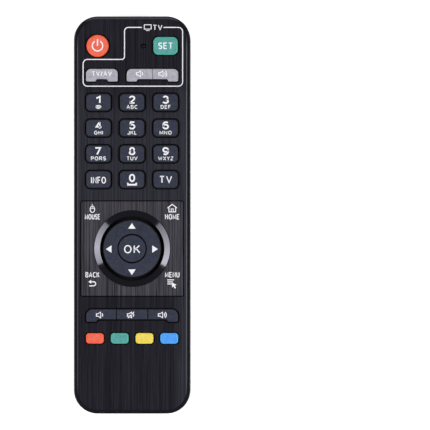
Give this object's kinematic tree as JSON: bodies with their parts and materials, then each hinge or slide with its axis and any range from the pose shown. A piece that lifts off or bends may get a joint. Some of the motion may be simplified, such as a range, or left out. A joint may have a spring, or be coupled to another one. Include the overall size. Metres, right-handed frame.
{
  "type": "tv box remote control",
  "caption": "Slim hand-held infrared remote: black case, number pad, ring and corner navigation keys, colour keys, sprung keypad and a latched battery door.",
  "frame": {"origin": "under the middle of the body, on the plane of the four rest nubs' tips", "axes": "+X across the face to the right, +Y towards the infrared end, +Z out of the keys"},
  "size_m": [0.049, 0.1668, 0.0214],
  "materials": {
    "face_plastic": "fine vertical brushed satin",
    "case_plastic": "fine spark-eroded texture",
    "plate_plastic": "vertical brushed satin",
    "bezel_gloss": "polished",
    "slate_rubber": "matt",
    "silver_rubber": "matt silver",
    "coral_rubber": "matt",
    "red_rubber": "matt",
    "green_rubber": "matt",
    "yellow_rubber": "matt",
    "blue_rubber": "matt",
    "mat_rubber": "matt",
    "window_plastic": "polished, dark, lets infrared through",
    "board": "solder mask",
    "carbon": "printed carbon",
    "steel": "plain",
    "contact_metal": "nickel plated",
    "chip_plastic": "moulded epoxy",
    "capacitor_can": "sleeved can",
    "clear_lamp": "clear epoxy",
    "dark_lamp": "dark epoxy",
    "red_lamp": "tinted epoxy",
    "cell_can": "printed sleeve, bare ends"
  },
  "bodies": {
    "root": {"front_shell": "face_plastic", "back_shell": "case_plastic", "circuit_board": "board", "keypad_mat": "mat_rubber", "contact_pads": "carbon", "board_screws": "steel", "ir_window": "window_plastic", "ir_emitter": "clear_lamp", "ir_receiver": "dark_lamp", "indicator_lamp": "red_lamp", "battery_cell_left": "cell_can", "battery_cell_right": "cell_can", "contact_positive": "contact_metal", "contact_negative": "contact_metal", "contact_bridge": "contact_metal", "contact_spring_upper": "contact_metal", "contact_spring_lower": "contact_metal", "controller_chip": "chip_plastic", "resonator": "steel", "capacitor": "capacitor_can", "transistor": "chip_plastic", "chip_resistors": "chip_plastic"},
    "battery_door": {"battery_door": "case_plastic"},
    "door_latch": {"battery_door_latch": "case_plastic"},
    "plate_gimbal": {"corner_plate_gimbal": "mat_rubber"},
    "corner_plate": {"corner_plate": "plate_plastic", "nav_bezel": "bezel_gloss"},
    "ring_gimbal": {"nav_ring_gimbal": "mat_rubber"},
    "nav_ring": {"nav_ring": "slate_rubber"},
    "key_0": {"key_0": "slate_rubber"},
    "key_1": {"key_1": "slate_rubber"},
    "key_2": {"key_2": "slate_rubber"},
    "key_3": {"key_3": "slate_rubber"},
    "key_4": {"key_4": "slate_rubber"},
    "key_5": {"key_5": "slate_rubber"},
    "key_6": {"key_6": "slate_rubber"},
    "key_7": {"key_7": "slate_rubber"},
    "key_8": {"key_8": "slate_rubber"},
    "key_9": {"key_9": "slate_rubber"},
    "key_blue": {"key_blue": "blue_rubber"},
    "key_green": {"key_green": "green_rubber"},
    "key_info": {"key_info": "slate_rubber"},
    "key_mute": {"key_mute": "slate_rubber"},
    "key_ok": {"key_ok": "slate_rubber"},
    "key_power": {"key_power": "coral_rubber"},
    "key_red": {"key_red": "red_rubber"},
    "key_settings": {"key_settings": "green_rubber"},
    "key_tv": {"key_tv": "slate_rubber"},
    "key_tv_av": {"key_tv_av": "silver_rubber"},
    "key_tv_volume_down": {"key_tv_volume_down": "silver_rubber"},
    "key_tv_volume_up": {"key_tv_volume_up": "silver_rubber"},
    "key_volume_down": {"key_volume_down": "slate_rubber"},
    "key_volume_up": {"key_volume_up": "slate_rubber"},
    "key_yellow": {"key_yellow": "yellow_rubber"}
  },
  "joints": [
    {"name": "key_0_press", "type": "slide", "parent": "root", "child": "key_0", "axis": [0, 0, -1], "range_m": [0, 0.0009], "stiffness_N_per_m": 1200},
    {"name": "key_1_press", "type": "slide", "parent": "root", "child": "key_1", "axis": [0, 0, -1], "range_m": [0, 0.0009], "stiffness_N_per_m": 1200},
    {"name": "key_2_press", "type": "slide", "parent": "root", "child": "key_2", "axis": [0, 0, -1], "range_m": [0, 0.0009], "stiffness_N_per_m": 1200},
    {"name": "key_3_press", "type": "slide", "parent": "root", "child": "key_3", "axis": [0, 0, -1], "range_m": [0, 0.0009], "stiffness_N_per_m": 1200},
    {"name": "key_4_press", "type": "slide", "parent": "root", "child": "key_4", "axis": [0, 0, -1], "range_m": [0, 0.0009], "stiffness_N_per_m": 1200},
    {"name": "key_5_press", "type": "slide", "parent": "root", "child": "key_5", "axis": [0, 0, -1], "range_m": [0, 0.0009], "stiffness_N_per_m": 1200},
    {"name": "key_6_press", "type": "slide", "parent": "root", "child": "key_6", "axis": [0, 0, -1], "range_m": [0, 0.0009], "stiffness_N_per_m": 1200},
    {"name": "key_7_press", "type": "slide", "parent": "root", "child": "key_7", "axis": [0, 0, -1], "range_m": [0, 0.0009], "stiffness_N_per_m": 1200},
    {"name": "key_8_press", "type": "slide", "parent": "root", "child": "key_8", "axis": [0, 0, -1], "range_m": [0, 0.0009], "stiffness_N_per_m": 1200},
    {"name": "key_9_press", "type": "slide", "parent": "root", "child": "key_9", "axis": [0, 0, -1], "range_m": [0, 0.0009], "stiffness_N_per_m": 1200},
    {"name": "key_blue_press", "type": "slide", "parent": "root", "child": "key_blue", "axis": [0, 0, -1], "range_m": [0, 0.0009], "stiffness_N_per_m": 1200},
    {"name": "key_green_press", "type": "slide", "parent": "root", "child": "key_green", "axis": [0, 0, -1], "range_m": [0, 0.0009], "stiffness_N_per_m": 1200},
    {"name": "key_info_press", "type": "slide", "parent": "root", "child": "key_info", "axis": [0, 0, -1], "range_m": [0, 0.0009], "stiffness_N_per_m": 1200},
    {"name": "key_mute_press", "type": "slide", "parent": "root", "child": "key_mute", "axis": [0, 0, -1], "range_m": [0, 0.0009], "stiffness_N_per_m": 1200},
    {"name": "key_ok_press", "type": "slide", "parent": "root", "child": "key_ok", "axis": [0, 0, -1], "range_m": [0, 0.0009], "stiffness_N_per_m": 1200},
    {"name": "key_power_press", "type": "slide", "parent": "root", "child": "key_power", "axis": [0, 0, -1], "range_m": [0, 0.0009], "stiffness_N_per_m": 1200},
    {"name": "key_red_press", "type": "slide", "parent": "root", "child": "key_red", "axis": [0, 0, -1], "range_m": [0, 0.0009], "stiffness_N_per_m": 1200},
    {"name": "key_settings_press", "type": "slide", "parent": "root", "child": "key_settings", "axis": [0, 0, -1], "range_m": [0, 0.0009], "stiffness_N_per_m": 1200},
    {"name": "key_tv_press", "type": "slide", "parent": "root", "child": "key_tv", "axis": [0, 0, -1], "range_m": [0, 0.0009], "stiffness_N_per_m": 1200},
    {"name": "key_tv_av_press", "type": "slide", "parent": "root", "child": "key_tv_av", "axis": [0, 0, -1], "range_m": [0, 0.0009], "stiffness_N_per_m": 1200},
    {"name": "key_tv_volume_down_press", "type": "slide", "parent": "root", "child": "key_tv_volume_down", "axis": [0, 0, -1], "range_m": [0, 0.0009], "stiffness_N_per_m": 1200},
    {"name": "key_tv_volume_up_press", "type": "slide", "parent": "root", "child": "key_tv_volume_up", "axis": [0, 0, -1], "range_m": [0, 0.0009], "stiffness_N_per_m": 1200},
    {"name": "key_volume_down_press", "type": "slide", "parent": "root", "child": "key_volume_down", "axis": [0, 0, -1], "range_m": [0, 0.0009], "stiffness_N_per_m": 1200},
    {"name": "key_volume_up_press", "type": "slide", "parent": "root", "child": "key_volume_up", "axis": [0, 0, -1], "range_m": [0, 0.0009], "stiffness_N_per_m": 1200},
    {"name": "key_yellow_press", "type": "slide", "parent": "root", "child": "key_yellow", "axis": [0, 0, -1], "range_m": [0, 0.0009], "stiffness_N_per_m": 1200},
    {"name": "nav_ring_up_down", "type": "hinge", "parent": "root", "child": "ring_gimbal", "pos_m": [0, -0.0141, 0.0176], "axis": [1, 0, 0], "range_deg": [-2.4, 2.4], "stiffness_Nm_per_rad": 0.36},
    {"name": "nav_ring_left_right", "type": "hinge", "parent": "ring_gimbal", "child": "nav_ring", "pos_m": [0, -0.0141, 0.0176], "axis": [0, 1, 0], "range_deg": [-2.4, 2.4], "stiffness_Nm_per_rad": 0.36},
    {"name": "corner_plate_rising_diagonal", "type": "hinge", "parent": "root", "child": "plate_gimbal", "pos_m": [0, -0.0141, 0.01865], "axis": [0.7071, 0.7071, 0], "range_deg": [-1.5, 1.5], "stiffness_Nm_per_rad": 1.8},
    {"name": "corner_plate_falling_diagonal", "type": "hinge", "parent": "plate_gimbal", "child": "corner_plate", "pos_m": [0, -0.0141, 0.01865], "axis": [0.7071, -0.7071, 0], "range_deg": [-1.5, 1.5], "stiffness_Nm_per_rad": 1.8},
    {"name": "battery_door_hinge", "type": "hinge", "parent": "root", "child": "battery_door", "pos_m": [0, -0.073, 0.0014], "axis": [-1, 0, 0], "range_deg": [0, 70]},
    {"name": "door_latch_flex", "type": "hinge", "parent": "battery_door", "child": "door_latch", "pos_m": [0, -0.016, 0.0058], "axis": [-1, 0, 0], "range_deg": [0, 8], "stiffness_Nm_per_rad": 0.3}
  ]
}
